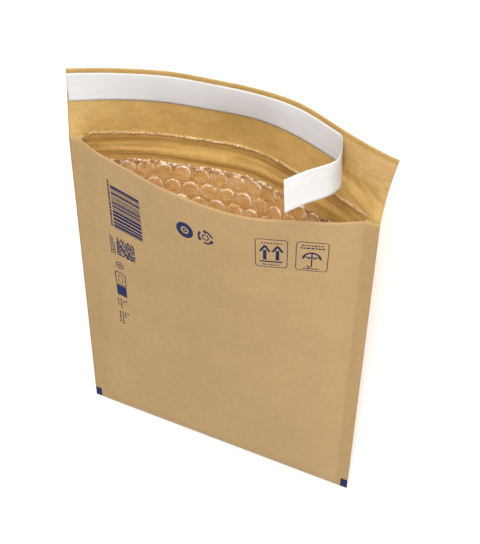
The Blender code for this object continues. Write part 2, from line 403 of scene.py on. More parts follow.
def flap_share(x, rise):
    """Share along the flap at which it reaches x."""
    low, high = np.zeros_like(x), np.ones_like(x)
    for _ in range(30):
        middle = (low + high) / 2
        below = flap_across(middle, rise)[2] < x
        low = np.where(below, middle, low)
        high = np.where(below, high, middle)
    return (low + high) / 2


def tip_angle():
    """How far the envelope leans when it lies on the crest of its back."""
    return math.atan2(-deepest_bow() - PAD_HALF, sizes().height)


def floor_place():
    """Matrix from the envelope's own frame to where its solids lie."""
    s = sizes()
    turn = Matrix.Rotation(tip_angle(), 4, "X")
    rest = turn @ Vector((0.0, PAD_RUN, crest_depth(PAD_RUN)))
    low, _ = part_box("kraft_envelope")
    fold = turn @ Vector((0.0, 0.0, FOLD_HALF))
    shift = Vector((low.x + s.fold_width / 2, low.y - fold.y, low.z - rest.z))
    return Matrix.Translation(shift) @ turn


# --------------------------------------------------------------------------------------------
# Mesh helpers
# --------------------------------------------------------------------------------------------


class Sheets:
    """Gathers grids of points into one mesh, with flat-sheet coordinates and material numbers."""

    def __init__(self):
        self.points = []
        self.flat = []
        self.rims = []
        self.faces = []
        self.slots = []

    def grid(self, x, u, n, flat_x=None, flat_u=None, rim=0.0):
        """Add a grid of points and return their numbers. rim is how much painted highlight whitens
        the film there.
        """
        x, u, n = np.broadcast_arrays(x, u, n)
        start = len(self.points)
        self.points.extend(np.stack([x, u, n], -1).reshape(-1, 3).tolist())
        fx, fu = (x if flat_x is None else flat_x), (u if flat_u is None else flat_u)
        fx, fu = np.broadcast_arrays(fx, fu)
        self.flat.extend(np.stack([fx, fu], -1).reshape(-1, 2).tolist())
        self.rims.extend(np.broadcast_to(rim, x.shape).ravel().tolist())
        return np.arange(start, start + x.size).reshape(x.shape)

    def skin(self, grid, slot=0, flip=False):
        """Face a grid of point numbers."""
        a, b = grid[:-1, :-1].ravel(), grid[:-1, 1:].ravel()
        c, d = grid[1:, 1:].ravel(), grid[1:, :-1].ravel()
        quads = np.stack([d, c, b, a] if flip else [a, b, c, d], -1)
        self.faces.extend(quads.tolist())
        self.slots.extend([slot] * len(quads))

    def band(self, low, high, slot=0, flip=False):
        """Face the strip between two equally long rows."""
        self.skin(np.stack([low, high]), slot, flip)

    def face(self, numbers, slot=0):
        """Add one face."""
        self.faces.append(list(map(int, numbers)))
        self.slots.append(slot)


def new_object(name, data):
    """An object of the data in the open scene."""
    obj = bpy.data.objects.new(name, data)
    bpy.context.scene.collection.objects.link(obj)
    return obj


def finish_piece(name, sheets, materials, merge=0.00001):
    """Make an object of the sheets in place, merge its doubled points and give it its materials."""
    place = floor_place()
    mesh = bpy.data.meshes.new(name)
    mesh.from_pydata([place @ Vector(p) for p in sheets.points], [], sheets.faces)
    mesh.update()
    flat = mesh.uv_layers.new(name="Sheet")
    for loop in mesh.loops:
        flat.data[loop.index].uv = sheets.flat[loop.vertex_index]
    if any(sheets.rims):
        mesh.attributes.new("rim", "FLOAT", "POINT").data.foreach_set("value", sheets.rims)
    for polygon, number in zip(mesh.polygons, sheets.slots):
        polygon.material_index = number
        polygon.use_smooth = True
    bm = bmesh.new()
    bm.from_mesh(mesh)
    if merge:
        bmesh.ops.remove_doubles(bm, verts=bm.verts, dist=merge)
    bmesh.ops.recalc_face_normals(bm, faces=bm.faces)
    bm.to_mesh(mesh)
    bm.free()
    obj = new_object(name, mesh)
    for material in materials:
        obj.data.materials.append(material)
    return obj


def slab(sheets, x, u, n, lift, thick, out=1.0, flat_x=None, flat_u=None, near_slot=0, rim=0.0):
    """Add a closed thin sheet: a grid moved by lift, and its copy a thickness further on.

    lift and thick are along the grid's own normals, towards positive n times out. near_slot is the
    material number of the side at lift.
    """
    normal = grid_normals(x, u, n) * out
    near = [c + normal[..., k] * lift for k, c in enumerate((x, u, n))]
    far = [c + normal[..., k] * (lift + thick) for k, c in enumerate((x, u, n))]
    a = sheets.grid(*near, flat_x, flat_u, rim)
    b = sheets.grid(*far, flat_x, flat_u, rim)
    sheets.skin(a, near_slot, flip=out > 0)
    sheets.skin(b, flip=out < 0)
    for low, high in ((a[0], b[0]), (b[-1], a[-1]), (b[:, 0], a[:, 0]), (a[:, -1], b[:, -1])):
        sheets.band(low, high)


def grid_normals(x, u, n):
    """Unit normals of a grid of points, towards positive n."""
    p = np.stack(np.broadcast_arrays(x, u, n), -1)
    normal = np.cross(np.gradient(p, axis=1), np.gradient(p, axis=0))
    normal /= np.maximum(np.linalg.norm(normal, axis=-1, keepdims=True), 1e-12)
    return normal


def columns(count=100, margin=6):
    """Shares of the half width for the columns, with one exactly on each seal's inner edge."""
    s = sizes()
    inner = 1.0 - s.seam / (s.fold_width / 2)
    left = np.linspace(-1.0, -inner, margin + 1)
    middle = np.linspace(-inner, inner, count + 1)
    return np.concatenate([left, middle[1:-1], -left[::-1]])


def rows(count=96):
    """Heights of the rows from the fold to the mouth, close together at the fold."""
    s = sizes()
    low = PAD_RUN * np.linspace(0.0, 1.0, 15) ** 2.0
    high = np.linspace(PAD_RUN, s.height, count + 1)
    return np.concatenate([low, high[1:]])


# --------------------------------------------------------------------------------------------
# Materials
# --------------------------------------------------------------------------------------------


class Nodes:
    """Short calls for building a node tree."""

    def __init__(self, tree):
        self.tree = tree

    def add(self, kind, inputs=None, **settings):
        """Add a node, set its properties, then feed its inputs."""
        node = self.tree.nodes.new(kind)
        for key, value in settings.items():
            setattr(node, key, value)
        self.fill(node, inputs or {})
        return node

    def fill(self, node, inputs):
        """Link or set the inputs of a node, by their labels or numbers."""
        for label, value in inputs.items():
            if isinstance(value, bpy.types.NodeSocket):
                self.tree.links.new(value, node.inputs[label])
            else:
                node.inputs[label].default_value = value

    def math(self, operation, first, second=0.0, clamp=False):
        """A Math node's result."""
        inputs = {0: first, 1: second}
        return self.add("ShaderNodeMath", inputs, operation=operation, use_clamp=clamp).outputs[0]

    def noise(self, vector, scale, detail=3.0, rough=0.55, distortion=0.0):
        """A Noise Texture's factor."""
        inputs = {"Vector": vector, "Scale": scale, "Detail": detail, "Roughness": rough,
                  "Distortion": distortion}
        return self.add("ShaderNodeTexNoise", inputs).outputs["Fac"]

    def spread(self, value, low, high, to_low=0.0, to_high=1.0):
        """Map a range of values to another, held at its ends."""
        inputs = {"Value": value, "From Min": low, "From Max": high, "To Min": to_low,
                  "To Max": to_high}
        return self.add("ShaderNodeMapRange", inputs).outputs["Result"]

    def mix(self, factor, first, second, kind="MIX"):
        """Mix two colours."""
        inputs = {"Factor": factor, 6: first, 7: second}
        return self.add("ShaderNodeMix", inputs, data_type="RGBA", blend_type=kind).outputs[2]

    def stretch(self, vector, scale):
        """Scale a vector along its own axes."""
        return self.add("ShaderNodeMapping", {"Vector": vector, "Scale": scale}).outputs["Vector"]

    def split(self, vector):
        """The X, Y and Z of a vector."""
        return self.add("ShaderNodeSeparateXYZ", {0: vector}).outputs

    def grey(self, value):
        """A colour with the same value in all its channels."""
        return self.add("ShaderNodeCombineColor", {0: value, 1: value, 2: value}).outputs[0]

    def place(self):
        """The place on the object."""
        return self.add("ShaderNodeTexCoord").outputs["Object"]

    def sheet(self):
        """The place on the flat sheet."""
        return self.add("ShaderNodeUVMap", uv_map="Sheet").outputs["UV"]

    def bump(self, height, strength, distance):
        """A normal from a height."""
        inputs = {"Strength": strength, "Distance": distance, "Height": height}
        return self.add("ShaderNodeBump", inputs).outputs["Normal"]


def new_group(name, ins, outs):
    """An empty shader node group with its sockets, as (tree, Nodes, input node, output node)."""
    tree = bpy.data.node_groups.new(name, "ShaderNodeTree")
    for label, kind, value in ins:
        socket = tree.interface.new_socket(label, in_out="INPUT", socket_type=kind)
        if value is not None:
            socket.default_value = value
    for label, kind in outs:
        tree.interface.new_socket(label, in_out="OUTPUT", socket_type=kind)
    made = Nodes(tree)
    return tree, made, made.add("NodeGroupInput"), made.add("NodeGroupOutput")


def paper_group():
    """Shader group for unbleached paper: mottle and fine fibres, as a colour and a height."""
    if "Paper Fibre" in bpy.data.node_groups:
        return bpy.data.node_groups["Paper Fibre"]
    tree, g, given, out = new_group(
        "Paper Fibre",
        (("Vector", "NodeSocketVector", None), ("Color", "NodeSocketColor", PAPER_BROWN),
         ("Mottle", "NodeSocketFloat", 0.5), ("Fibre", "NodeSocketFloat", 0.5)),
        (("Color", "NodeSocketColor"), ("Height", "NodeSocketFloat"),
         ("Roughness", "NodeSocketFloat")))
    at = given.outputs["Vector"]
    cloud = g.noise(at, 26.0, 4.0, 0.6)
    mottle = g.noise(at, 170.0, 3.0, 0.6)
    long_fibre = g.noise(g.stretch(at, (900.0, 220.0, 900.0)), 1.0, 2.0, 0.6, 0.8)
    cross_fibre = g.noise(g.stretch(at, (260.0, 1000.0, 260.0)), 1.0, 2.0, 0.6, 0.8)
    fleck = g.noise(g.stretch(at, (620.0, 330.0, 500.0)), 1.0, 1.0, 0.5, 0.5)
    fibres = g.math("ADD", g.spread(long_fibre, 0.35, 0.65, -1.0, 1.0),
                    g.spread(cross_fibre, 0.35, 0.65, -1.0, 1.0))
    soft = g.math("ADD", g.math("MULTIPLY", g.spread(cloud, 0.3, 0.7, -1.0, 1.0), 0.65),
                  g.math("MULTIPLY", g.spread(mottle, 0.3, 0.7, -1.0, 1.0), 0.55))
    mottle_share = g.math("MULTIPLY", given.outputs["Mottle"], 0.10)
    fibre_share = g.math("MULTIPLY", given.outputs["Fibre"], 0.05)
    shade = g.math("ADD", g.math("MULTIPLY", soft, mottle_share),
                   g.math("MULTIPLY", fibres, fibre_share))
    dark = g.math("MULTIPLY", g.spread(fleck, 0.70, 0.78, 0.0, 0.35), given.outputs["Fibre"])
    light = g.grey(g.math("ADD", 1.0, shade))
    tinted = g.mix(1.0, given.outputs["Color"], light, "MULTIPLY")
    g.fill(out, {
        "Color": g.mix(dark, tinted, FLECK_BROWN),
        "Height": g.math("ADD", g.math("MULTIPLY", fibres, 0.35), g.math("MULTIPLY", soft, 0.4)),
        "Roughness": g.spread(mottle, 0.3, 0.7)})
    return tree


def crumple_group():
    """Shader group for creased plastic film: a height, and a mask of its folds for painted
    highlights.
    """
    if "Film Crumple" in bpy.data.node_groups:
        return bpy.data.node_groups["Film Crumple"]
    tree, g, given, out = new_group(
        "Film Crumple",
        (("Vector", "NodeSocketVector", None), ("Scale", "NodeSocketFloat", 220.0)),
        (("Height", "NodeSocketFloat"), ("Fold", "NodeSocketFloat")))
    at, scale = given.outputs["Vector"], given.outputs["Scale"]
    broad = g.noise(at, scale, 3.0, 0.6, 1.2)
    fine = g.noise(at, g.math("MULTIPLY", scale, 2.7), 3.0, 0.6, 0.9)
    fold, fine_fold = (g.math("ABSOLUTE", g.math("SUBTRACT", one, 0.5)) for one in (broad, fine))
    fine_height = g.math("MULTIPLY", g.spread(fine_fold, 0.0, 0.12, 1.0, 0.0), 0.4)
    g.fill(out, {"Height": g.math("ADD", g.spread(fold, 0.0, 0.14, 1.0, 0.0), fine_height),
                 "Fold": g.spread(fold, 0.0, 0.035, 1.0, 0.0)})
    return tree


def new_material(name):
    """A material with its Principled shader, as (material, Nodes, shader)."""
    material = bpy.data.materials.new(name)
    material.use_nodes = True
    made = Nodes(material.node_tree)
    return material, made, material.node_tree.nodes["Principled BSDF"]


def place_group(made, tree, **values):
    """Put a group in a material, set its inputs and return its outputs."""
    node = made.add("ShaderNodeGroup", node_tree=tree)
    made.fill(node, values)
    return node.outputs


def rgba(colour):
    """A colour property as four numbers."""
    return (*colour, 1.0)


def kraft_outside():
    """Matte, slightly mottled brown paper, with painted shade darkening its side margins."""
    s = sizes()
    material, made, shader = new_material("Kraft Outside")
    paper = place_group(made, paper_group(), Vector=made.place(),
                        Color=rgba(colours().kraft_outside), Mottle=0.6, Fibre=0.35)
    flat = made.split(made.sheet())
    taper = (s.fold_width - s.mouth_width) / 2 / s.height
    aside = made.math("ADD", made.math("ABSOLUTE", flat["X"]),
                      made.math("MULTIPLY", flat["Y"], taper))
    inner = s.fold_width / 2 - s.seam
    # Painted shade: the side margins are darkened in the paper's colour.
    margin = made.spread(aside, inner - 0.0003, inner + 0.0012, 0.0, 0.5)
    made.fill(shader, {
        "Base Color": made.mix(margin, paper["Color"], MARGIN_SHADE, "MULTIPLY"),
        "Roughness": made.spread(paper["Roughness"], 0.0, 1.0, 0.62, 0.74),
        "Specular IOR Level": 0.35,
        "Normal": made.bump(paper["Height"], 0.25, 0.0003)})
    return material


def kraft_inside():
    """The same paper seen through the thin film it is coated with: warmer, with a soft gloss,
    painted shade in the creases below the mouth and a darker strip along the flap's top edge.
    """
    s = sizes()
    material, made, shader = new_material("Kraft Inside")
    at = made.place()
    paper = place_group(made, paper_group(), Vector=at, Color=rgba(colours().kraft_inside),
                        Mottle=0.85, Fibre=0.6)
    patches = made.noise(at, 70.0, 2.0, 0.5, 0.6)
    tone = made.mix(made.spread(patches, 0.42, 0.62, 0.0, 0.30), paper["Color"], BLOTCH_BROWN)
    sheet = made.sheet()
    height = made.split(sheet)["Y"]
    # Painted shade: dark streaks in the creases between the film's weld and the bubbles.
    creased = made.math("MULTIPLY", made.spread(height, 0.252, 0.262),
                        made.spread(height, 0.285, 0.279))
    shade_streaks = made.noise(made.stretch(sheet, (9.0, 240.0, 1.0)), 1.0, 3.0, 0.55, 0.25)
    crease_shade = made.math("MULTIPLY", made.spread(shade_streaks, 0.44, 0.60, 0.0, 0.62), creased)
    tone = made.mix(crease_shade, tone, CREASE_SHADE)
    # Darker along the strip above the liner's upper edge.
    top = s.height + s.liner_high
    top_strip = made.spread(height, top - 0.0008, top + 0.0008)
    bumps = made.math("MULTIPLY", made.noise(at, 95.0, 3.0, 0.55, 0.5), 3.0)
    made.fill(shader, {
        "Base Color": made.mix(top_strip, tone, made.mix(1.0, tone, TOP_STRIP_TINT, "MULTIPLY")),
        "Roughness": made.spread(patches, 0.3, 0.7, 0.50, 0.34),
        "Normal": made.bump(made.math("ADD", paper["Height"], bumps), 0.35, 0.0006)})
    return material


def film_material(name, solid, folds, scale=210.0, light=FOLD_HIGHLIGHT):
    """Glossy crinkled film over the kraft: golden, with painted highlights whitening its folds and
    rims.
    """
    material, made, shader = new_material(name)
    at = made.place()
    crumple = place_group(made, crumple_group(), Vector=at, Scale=scale)
    rim = made.add("ShaderNodeAttribute", attribute_name="rim").outputs["Fac"]
    patches = made.noise(at, 130.0, 3.0, 0.6, 0.8)
    # Painted highlights: bright rims and folds whiten the colour and make the film more opaque
    # there.
    broken_highlight = made.math("MULTIPLY", made.math("POWER", rim, 1.8),
                       made.spread(patches, 0.40, 0.54, 0.15, 1.0))
    fold_highlight = made.math("MULTIPLY", crumple["Fold"], folds)
    highlight_mask = made.math("MAXIMUM", fold_highlight, broken_highlight, clamp=True)
    golden = made.mix(made.spread(patches, 0.35, 0.65), FILM_GOLD, rgba(colours().film))
    made.fill(shader, {
        "Base Color": made.mix(highlight_mask, golden, light),
        "Alpha": made.spread(highlight_mask, 0.0, 1.0, solid, 1.0),
        "Roughness": 0.16, "Specular IOR Level": 0.8,
        "Coat Weight": 0.7, "Coat Roughness": 0.07,
        "Normal": made.bump(crumple["Height"], 0.45, 0.0006)})
    return material


def glue_material():
    """Translucent hot-melt adhesive: pale, wet-looking, with drawn-out streaks."""
    material, made, shader = new_material("Adhesive")
    sheet = made.sheet()
    streak = made.noise(made.stretch(sheet, (60.0, 520.0, 1.0)), 1.0, 3.0, 0.6, 0.4)
    blob = made.noise(sheet, 160.0, 3.0, 0.6)
    made.fill(shader, {
        "Base Color": made.mix(made.spread(streak, 0.35, 0.65), GLUE_DARK, GLUE_LIGHT),
        "Alpha": made.spread(blob, 0.3, 0.7, 0.20, 0.45),
        "Roughness": 0.28, "Coat Weight": 0.5,
        "Normal": made.bump(made.math("ADD", streak, blob), 0.15, 0.0004)})
    return material


def liner_material(name, light, rough):
    """White release paper: smooth, with a satin sheen and faint painted sheen streaks along its
    length.
    """
    material, made, shader = new_material(name)
    sheet = made.sheet()
    streak = made.noise(made.stretch(sheet, (14.0, 240.0, 1.0)), 1.0, 3.0, 0.55, 0.3)
    cloud = made.noise(sheet, 45.0, 3.0, 0.5)
    # Painted sheen: faint darker streaks along the liner's length, with faint random clouding.
    shade = made.math("ADD", made.spread(streak, 0.3, 0.7, 0.93, 1.0),
                      made.spread(cloud, 0.3, 0.7, -0.02, 0.02))
    paper = rgba(light * part for part in colours().liner)
    made.fill(shader, {
        "Base Color": made.mix(1.0, paper, made.grey(shade), "MULTIPLY"),
        "Roughness": made.spread(cloud, 0.3, 0.7, rough, rough + 0.12),
        "Coat Weight": 0.25,
        "Normal": made.bump(cloud, 0.12, 0.0006)})
    return material


def ink_material():
    """Navy printing ink soaked into the paper, a little thin where the fibres stand up."""
    material, made, shader = new_material("Ink")
    at = made.place()
    paper = place_group(made, paper_group(), Vector=at, Color=rgba(colours().ink), Mottle=0.8,
                        Fibre=1.0)
    worn = made.spread(made.noise(at, 1400.0, 2.0, 0.6), 0.64, 0.82, 0.0, 0.25)
    made.fill(shader, {
        "Base Color": made.mix(worn, paper["Color"], rgba(colours().kraft_outside)),
        "Roughness": 0.6, "Specular IOR Level": 0.2,
        "Normal": made.bump(paper["Height"], 0.2, 0.0003)})
    return material


# --------------------------------------------------------------------------------------------
# Kraft envelope
# --------------------------------------------------------------------------------------------


def kraft_sheets():
    """The kraft web: front, back and flap as one closed thin-walled body."""
    s = sizes()
    sheets = Sheets()
    share = columns()
    u = rows()[:, None]
    x = share[None, :] * half_width(u)
    front_n, back_n = front_depth(x, u), back_depth(x, u)
    front = sheets.grid(x, u, front_n)
    back = sheets.grid(x, u, back_n)

    edge = np.count_nonzero(share < -(1.0 - s.seam / (s.fold_width / 2)) - 1e-6)
    hollow = slice(edge, len(share) - edge)
    wall = s.paper * np.clip(u[FIRST_INSIDE_ROW:] / 0.004, 0.35, 1.0)
    inside = (slice(FIRST_INSIDE_ROW, None), hollow)
    inner_x, inner_u = x[inside], u[FIRST_INSIDE_ROW:]
    half = (front_n - back_n)[inside] / 2 - 0.00004
    wall = np.minimum(wall, half)
    front_in = sheets.grid(inner_x, inner_u, front_n[inside] - wall)
    back_in = sheets.grid(inner_x, inner_u, back_n[inside] + wall)

    first, rest = np.linspace(0.0, 0.006, 9)[1:], np.linspace(0.006, s.flap, 26)[1:]
    rises = np.concatenate([first, rest])[:, None]
    spots = (share[None, :] + 1.0) / 2.0
    fx, fu, fn = flap_place(spots, rises)
    flap_out = np.concatenate([back[-1:], sheets.grid(fx, fu, fn)])
    mouth = sheets.grid(x[-1:, :], u[-1:, :], back_n[-1:, :] + s.paper)[0]
    mouth[hollow] = back_in[-1]
    flap_in = np.concatenate([mouth[None, :], sheets.grid(fx, fu, fn + s.paper)])

    sheets.skin(front, 0)
    sheets.skin(back, 0, flip=True)
    sheets.skin(front_in, 1, flip=True)
    sheets.skin(back_in, 1)
    sheets.skin(flap_out, 0, flip=True)
    sheets.skin(flap_in, 1)
    sheets.band(back[0], front[0])
    sheets.band(front_in[0], back_in[0], 1)
    for side in (0, -1):
        sheets.band(front_in[:, side], back_in[:, side], 1)
        sheets.band(front[:, side], back[:, side])
        sheets.band(flap_out[:, side], flap_in[:, side])
    sheets.band(front[-1, hollow], front_in[-1])
    sheets.band(flap_in[-1], flap_out[-1])
    left, right = slice(0, edge + 1), slice(len(share) - edge - 1, None)
    for part in (left, right):
        sheets.band(front[-1, part], mouth[part])
    sheets.face((front[-1, edge], front_in[-1, 0], back_in[-1, 0]))
    sheets.face((front[-1, len(share) - edge - 1], back_in[-1, -1], front_in[-1, -1]))
    sheets.face((front[-1, 0], mouth[0], back[-1, 0]))
    sheets.face((front[-1, -1], back[-1, -1], mouth[-1]))
    return sheets


class ENVELOPE_OT_kraft(bpy.types.Operator):
    """Make the kraft web with its flap"""

    bl_idname = "envelope.kraft"
    bl_label = "Kraft Envelope"

    def execute(self, context):
        faces = kraft_outside(), kraft_inside()
        piece = finish_piece("kraft_web", kraft_sheets(), faces)
        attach(piece, "root")
        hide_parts("kraft_envelope")
        return {"FINISHED"}


# --------------------------------------------------------------------------------------------
# Bubble lining
# --------------------------------------------------------------------------------------------


def film_top(x, side):
    """Height at which a side's film ends: an uneven cut below the mouth."""
    s, lin = sizes(), lining()
    stop = lin.front_stop if side > 0 else lin.back_stop
    return s.height - stop + 0.0016 * ripple(x, 0.0 * x, 0.011, lin.seed + side)


def film_depth(x, u, side):
    """Depth of the film against the kraft, front (side 1) or back (side -1)."""
    s = sizes()
    wall = front_depth(x, u) if side > 0 else back_depth(x, u)
    return wall - side * (s.paper + FILM_GAP)


def inner_half(u):
    """Half the width between the side seals."""
    return half_width(u) - sizes().seam - 0.0008


def film_sheets():
    """Both panels of flat film that the bubbles stand on, crinkled along their upper edges."""
    sheets = Sheets()
    for side in (1, -1):
        share = np.linspace(-1.0, 1.0, 150)[None, :]
        close = 0.90 + 0.10 * np.linspace(0, 1, 19)[1:]
        part = np.concatenate([np.linspace(0.0, 0.90, 50), close])[:, None]
        top = film_top(share * inner_half(sizes().height), side) + 0.0014
        u = 0.004 + (top - 0.004) * part
        x = share * inner_half(u)
        n = film_depth(x, u, side)
        near_top = smooth(0.0055, 0.0005, top - u)
        away = smooth(0.0, 0.012, inner_half(u) - np.abs(x))
        broad, fine = ripple(x, u, 0.0034, 3 + side), ripple(x, u, 0.0016, 9 + side)
        crinkle = np.abs(broad) + 0.6 * np.abs(fine)
        slack = 0.00035 * np.abs(ripple(x, u, 0.006, 20))
        n = n - side * away * (near_top * 0.0030 * crinkle + slack)
        # Painted highlight along the crinkled upper edge.
        highlight_mask = near_top * np.clip(0.25 + 1.5 * crinkle, 0.0, 1.0)
        slab(sheets, x, u, n, 0.0, FILM_THICK, out=-side, rim=highlight_mask)
    return sheets


def bubble_places(side):
    """Where a side's bubbles stand: places, directions and sizes, even over the bowed film."""
    s, lin = sizes(), lining()
    pick = random.Random(lin.seed * 10 + side)
    places, outs, grows = [], [], []
    pitch_u = lin.pitch * math.sqrt(3) / 2
    stop = lin.front_stop if side > 0 else lin.back_stop
    top_row = s.height - stop - 0.5 * lin.width
    for k in range(int((top_row - 0.008) / pitch_u) + 1):
        u = top_row - k * pitch_u
        xs = np.linspace(-1.0, 1.0, 241) * (inner_half(u) - 0.004)
        n = film_depth(xs, np.full_like(xs, u), side)
        along = np.concatenate([[0.0], np.cumsum(np.hypot(np.diff(xs), np.diff(n)))])
        along -= along[len(along) // 2]
        start = 0.5 * lin.pitch * (k % 2)
        for m in range(-12, 13):
            at = start + m * lin.pitch
            if not along[0] < at < along[-1]:
                continue
            x = float(np.interp(at, along, xs))
            over = u + lin.width * 0.52 - float(film_top(np.array([x]), side)[0])
            if over > 0.0055:
                continue
            eps = 0.0006
            spot = np.array([x, x + eps, x - eps, x, x])
            high = np.array([u, u, u, u + eps, u - eps])
            d = film_depth(spot, high, side)
            slope_x, slope_u = (d[1] - d[2]) / (2 * eps), (d[3] - d[4]) / (2 * eps)
            normal = Vector((-slope_x, -slope_u, 1.0)).normalized() * -side
            gap = abs(float(front_depth(x, u) - back_depth(x, u))) / 2 - s.paper - FILM_GAP
            room = min(1.0, max(gap - 0.0002, 0.0) / lin.height)
            if room < 0.2:
                continue
            full = pick.uniform(0.86, 1.0) if over < -0.004 else pick.uniform(0.45, 0.9)
            places.append((x, u, float(d[0])))
            outs.append(normal)
            grows.append((pick.uniform(0.95, 1.02), min(room, full)))
    return places, outs, grows


def dome_tree():
    """Geometry Nodes tree: a dented, closed bubble on every point, turned to its 'out' way."""
    tree = bpy.data.node_groups.new("Bubble Domes", "GeometryNodeTree")
    lin = lining()
    for label, kind, value in (
            ("Geometry", "Geometry", None), ("Width", "Float", lin.width),
            ("Height", "Float", lin.height), ("Dent", "Float", lin.dent),
            ("Seed", "Int", lin.seed), ("Film", "Material", None)):
        socket = tree.interface.new_socket(label, in_out="INPUT", socket_type="NodeSocket" + kind)
        if value is not None:
            socket.default_value = value
    tree.interface.new_socket("Geometry", in_out="OUTPUT", socket_type="NodeSocketGeometry")
    g = Nodes(tree)
    given, out = g.add("NodeGroupInput").outputs, g.add("NodeGroupOutput")

    def attribute(label, kind):
        inputs = {"Name": label}
        return g.add("GeometryNodeInputNamedAttribute", inputs, data_type=kind).outputs["Attribute"]

    # A low ball pulled out to a broad dome with a steep shoulder and a flat foot.
    ball = g.add("GeometryNodeMeshUVSphere", {"Segments": 12, "Rings": 6, "Radius": 1.0})
    part = g.split(g.add("GeometryNodeInputPosition").outputs[0])
    full = g.math("POWER", g.math("MAXIMUM", part["Z"], 0.0), 0.33)
    flat = g.add("ShaderNodeCombineXYZ", {"X": part["X"], "Y": part["Y"]})
    reach = g.add("ShaderNodeVectorMath", {0: flat.outputs[0]}, operation="LENGTH")
    spread = g.math("POWER", g.math("MAXIMUM", reach.outputs["Value"], 0.01), -0.45)
    wide = g.math("MULTIPLY", g.math("MULTIPLY", given["Width"], 0.5), spread)
    shaped = g.add("ShaderNodeCombineXYZ", {
        "X": g.math("MULTIPLY", part["X"], wide), "Y": g.math("MULTIPLY", part["Y"], wide),
        "Z": g.math("MULTIPLY", full, given["Height"])})
    mould = g.add("GeometryNodeSetPosition",
                  {"Geometry": ball.outputs["Mesh"], "Position": shaped.outputs[0]})

    # The shoulder's painted highlight, strongest at four fifths of the height.
    height = g.split(g.add("GeometryNodeInputPosition").outputs[0])["Z"]
    off = g.math("ABSOLUTE", g.math("SUBTRACT", g.math("DIVIDE", height, given["Height"]), 0.80))
    shoulder = g.math("SUBTRACT", 1.0, g.math("MULTIPLY", off, 5.0))
    rim = g.add("GeometryNodeStoreNamedAttribute",
                {"Name": "rim", "Geometry": mould.outputs["Geometry"],
                 "Value": g.math("MAXIMUM", shoulder, 0.0)}, data_type="FLOAT", domain="POINT")

    turn = g.add("FunctionNodeAlignRotationToVector",
                 {"Vector": attribute("out", "FLOAT_VECTOR")}, axis="Z")
    stand = g.add("GeometryNodeInstanceOnPoints", {
        "Points": given["Geometry"], "Instance": rim.outputs["Geometry"],
        "Rotation": turn.outputs["Rotation"], "Scale": attribute("grow", "FLOAT_VECTOR")})
    real = g.add("GeometryNodeRealizeInstances", {"Geometry": stand.outputs["Instances"]})

    # Dents, deepest along the shoulder.
    spots = g.add("ShaderNodeTexNoise", noise_dimensions="4D")
    g.fill(spots, {"Vector": g.add("GeometryNodeInputPosition").outputs[0], "W": given["Seed"],
                   "Scale": 190.0, "Detail": 2.0})
    push = g.add("ShaderNodeVectorMath", {0: spots.outputs["Color"], 1: (0.5, 0.5, 0.5)},
                 operation="SUBTRACT")
    share = g.math("ADD", attribute("rim", "FLOAT"), 0.6)
    amount = g.add("ShaderNodeVectorMath",
                   {0: push.outputs[0], "Scale": g.math("MULTIPLY", given["Dent"], share)},
                   operation="SCALE")
    dented = g.add("GeometryNodeSetPosition",
                   {"Geometry": real.outputs["Geometry"], "Offset": amount.outputs[0]})
    smoothed = g.add("GeometryNodeSetShadeSmooth", {"Geometry": dented.outputs["Geometry"]})
    painted = g.add("GeometryNodeSetMaterial",
                    {"Geometry": smoothed.outputs["Geometry"], "Material": given["Film"]})
    g.fill(out, {"Geometry": painted.outputs["Geometry"]})
    return tree


def set_input(modifier, label, value):
    """Set a Geometry Nodes modifier's input by its socket's identifier."""
    for item in modifier.node_group.interface.items_tree:
        if item.item_type == "SOCKET" and item.in_out == "INPUT" and item.name == label:
            modifier[item.identifier] = value
            return
    raise RuntimeError(f"the tree has no input {label}")


def grow_bubbles(name, side, material):
    """One panel's bubbles as a plain mesh."""
    lin = lining()
    place = floor_place()
    spots, outs, grows = bubble_places(side)
    mesh = bpy.data.meshes.new(name + "_points")
    mesh.from_pydata([place @ Vector(p) for p in spots], [], [])
    turn = place.to_3x3()
    way = mesh.attributes.new("out", "FLOAT_VECTOR", "POINT")
    grow = mesh.attributes.new("grow", "FLOAT_VECTOR", "POINT")
    for i, (direction, (wide, high)) in enumerate(zip(outs, grows)):
        way.data[i].vector = turn @ direction
        grow.data[i].vector = (wide, wide, high)
    points = new_object(name + "_points", mesh)
    modifier = points.modifiers.new("Bubbles", "NODES")
    modifier.node_group = dome_tree()
    for label, value in (("Width", lin.width), ("Height", lin.height), ("Dent", lin.dent),
                         ("Seed", lin.seed + side), ("Film", material)):
        set_input(modifier, label, value)
    bpy.context.view_layer.update()
    ready = points.evaluated_get(bpy.context.evaluated_depsgraph_get())
    made = bpy.data.meshes.new_from_object(ready)
    made.name = name
    points.modifiers.remove(modifier)
    bpy.data.objects.remove(points, do_unlink=True)
    obj = new_object(name, made)
    if not obj.data.materials or obj.data.materials[0] is None:
        obj.data.materials.clear()
        obj.data.materials.append(material)
    return obj


def weld_sheets():
    """The film's crinkled welded edge across the back at the mouth."""
    s = sizes()
    sheets = Sheets()
    share = np.linspace(0.055, 0.955, 420)[None, :]
    lines = np.linspace(-1.0, 1.0, WELD_ROWS)[:, None]
    x, u, n = flap_place(share, 0.0019 + 0.0013 * lines + 0.0008 * ripple(share, 0.0, 0.02, 4))
    across = 1.0 - lines**2
    fine, broad = np.abs(ripple(x, u, 0.0021, 2)), np.abs(ripple(x, u, 0.0042, 6))
    gaps = smooth(-0.35, 0.25, ripple(x, 0.0 * u, 0.014, 8))
    bulge = 0.0011 * across * (0.25 + fine + 0.8 * broad) * (0.2 + 0.8 * gaps)
    slab(sheets, x, u, n + s.paper + bulge, 0.00003, 0.00005)
    return sheets


